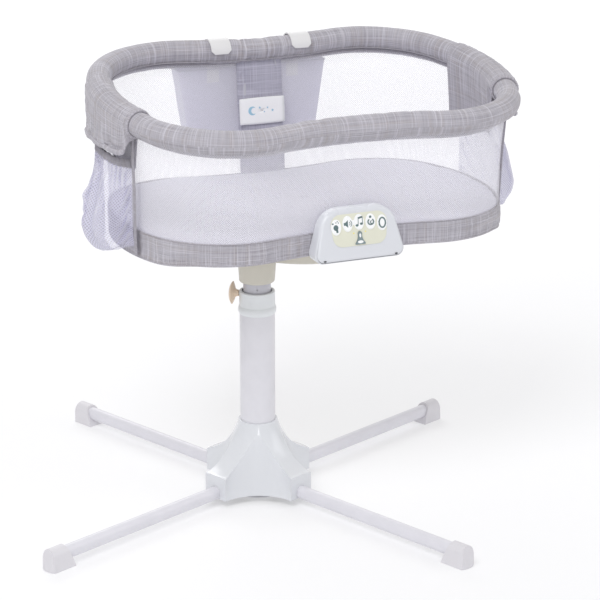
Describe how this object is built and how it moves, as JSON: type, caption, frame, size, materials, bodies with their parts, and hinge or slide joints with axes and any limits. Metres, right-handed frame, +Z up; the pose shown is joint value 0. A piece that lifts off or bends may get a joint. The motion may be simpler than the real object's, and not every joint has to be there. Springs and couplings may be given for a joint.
{
  "type": "bassinet on stand",
  "caption": "Hourglass swivel bassinet with padded rail, mesh walls and a drop-down front, on a height-adjustable pole with an X-shaped base.",
  "frame": {"origin": "on the floor, on the pole's axis", "axes": "+Z up the pole, +X along the basket's long axis with the front wall towards -Y"},
  "size_m": [1.2004, 1.1168, 0.9328],
  "materials": {
    "stand_plastic": "semi-gloss moulded polypropylene, cool light grey",
    "stand_tube": "satin powder-coated steel, cool white",
    "foot_plastic": "matte moulded plastic",
    "zinc_steel": "zinc-plated",
    "inner_plastic": "moulded nylon",
    "knob_plastic": "satin beige moulded plastic",
    "mast_tube": "satin powder-coated steel",
    "arm_plastic": "satin warm-grey moulded plastic",
    "tray_board": "pressed board",
    "frame_steel": "painted steel tube",
    "mattress_sheet": "pale lavender-grey knitted sheet with a fine dot weave",
    "heather_fabric": "heathered grey cross-thread weave",
    "mesh_fabric": "white warp-knitted mesh",
    "caddy_fabric": "pale lavender-grey woven fabric",
    "hook_plastic": "white moulded plastic",
    "pod_plastic": "satin moulded plastic, cool light grey",
    "overlay_film": "matte printed film, pale cream-green",
    "button_white": "white moulded silicone-coated plastic",
    "button_grey": "dark grey soft-touch",
    "board": "fibreglass board"
  },
  "bodies": {
    "stand": {"leg_right_rear": "stand_tube", "leg_left_rear": "stand_tube", "leg_left_front": "stand_tube", "leg_right_front": "stand_tube", "foot_cap_right_rear": "foot_plastic", "foot_cap_left_rear": "foot_plastic", "foot_cap_left_front": "foot_plastic", "foot_cap_right_front": "foot_plastic", "leg_screws": "zinc_steel", "hub_cover": "stand_plastic", "hub_core": "inner_plastic", "hub_base_plate": "stand_plastic", "column_tube": "stand_tube", "column_collar": "stand_plastic", "collar_bush": "inner_plastic", "knob_spring": "zinc_steel"},
    "height_knob": {"knob_cap": "knob_plastic", "knob_pin": "zinc_steel"},
    "mast": {"mast_tube": "mast_tube", "mast_guide": "inner_plastic", "mast_head": "inner_plastic"},
    "basket": {"swivel_arm": "arm_plastic", "swivel_bush": "inner_plastic", "floor_tray": "tray_board", "base_ring": "frame_steel", "mattress": "mattress_sheet", "fabric_band": "heather_fabric", "rear_rail_tube": "frame_steel", "rear_post": "frame_steel", "rear_rail_pad": "heather_fabric", "hinge_blocks": "inner_plastic", "hinge_pins": "zinc_steel", "hinge_springs": "zinc_steel", "post_cover": "heather_fabric", "mesh_wall_rear": "mesh_fabric", "mesh_wall_ends": "mesh_fabric", "mesh_wall_front_lower": "mesh_fabric", "mesh_wall_front_upper": "mesh_fabric", "end_cover_right": "heather_fabric", "end_cover_left": "heather_fabric", "hinge_cuffs": "heather_fabric", "pocket_right": "mesh_fabric", "pocket_left": "mesh_fabric", "caddy": "caddy_fabric", "caddy_hooks": "hook_plastic", "pod_front": "pod_plastic", "pod_overlay": "overlay_film", "pod_back": "pod_plastic", "battery_door": "pod_plastic", "circuit_board": "board", "speaker": "board", "battery_cells": "zinc_steel"},
    "front_wall": {"front_rail_frame": "frame_steel", "front_rail_pad": "heather_fabric"},
    "button_1": {"button_1": "button_white"},
    "button_2": {"button_2": "button_white"},
    "button_3": {"button_3": "button_white"},
    "button_4": {"button_4": "button_white"},
    "button_5": {"button_5": "button_white"},
    "light_button": {"light_button": "button_grey"}
  },
  "joints": [
    {"name": "column_height", "type": "slide", "parent": "stand", "child": "mast", "axis": [0, 0, 1], "range_m": [-0.015, 0.24]},
    {"name": "height_knob_pull", "type": "slide", "parent": "stand", "child": "height_knob", "axis": [-0.829, 0.5592, 0], "range_m": [0, 0.006], "stiffness_N_per_m": 700, "springref_m": -0.006, "deforming": ["knob_spring"]},
    {"name": "basket_swivel", "type": "hinge", "parent": "mast", "child": "basket", "pos_m": [0, 0, 0.5], "axis": [0, 0, 1], "continuous": true},
    {"name": "front_wall_drop", "type": "hinge", "parent": "basket", "child": "front_wall", "pos_m": [0.154, 0.011, 0.856], "axis": [1, 0, 0], "range_deg": [0, 24], "stiffness_Nm_per_rad": 22, "springref_deg": -28.65, "deforming": ["mesh_wall_front_upper", "hinge_cuffs"]},
    {"name": "button_1_press", "type": "slide", "parent": "basket", "child": "button_1", "axis": [0, 0.9785, -0.2062], "range_m": [0, 0.0012], "stiffness_N_per_m": 600, "springref_m": -0.0015},
    {"name": "button_2_press", "type": "slide", "parent": "basket", "child": "button_2", "axis": [0, 0.9785, -0.2062], "range_m": [0, 0.0012], "stiffness_N_per_m": 600, "springref_m": -0.0015},
    {"name": "button_3_press", "type": "slide", "parent": "basket", "child": "button_3", "axis": [0, 0.9785, -0.2062], "range_m": [0, 0.0012], "stiffness_N_per_m": 600, "springref_m": -0.0015},
    {"name": "button_4_press", "type": "slide", "parent": "basket", "child": "button_4", "axis": [0, 0.9785, -0.2062], "range_m": [0, 0.0012], "stiffness_N_per_m": 600, "springref_m": -0.0015},
    {"name": "button_5_press", "type": "slide", "parent": "basket", "child": "button_5", "axis": [0, 0.9785, -0.2062], "range_m": [0, 0.0012], "stiffness_N_per_m": 600, "springref_m": -0.0015},
    {"name": "light_button_press", "type": "slide", "parent": "basket", "child": "light_button", "axis": [0, 0.9785, -0.2062], "range_m": [0, 0.0012], "stiffness_N_per_m": 600, "springref_m": -0.0015}
  ]
}
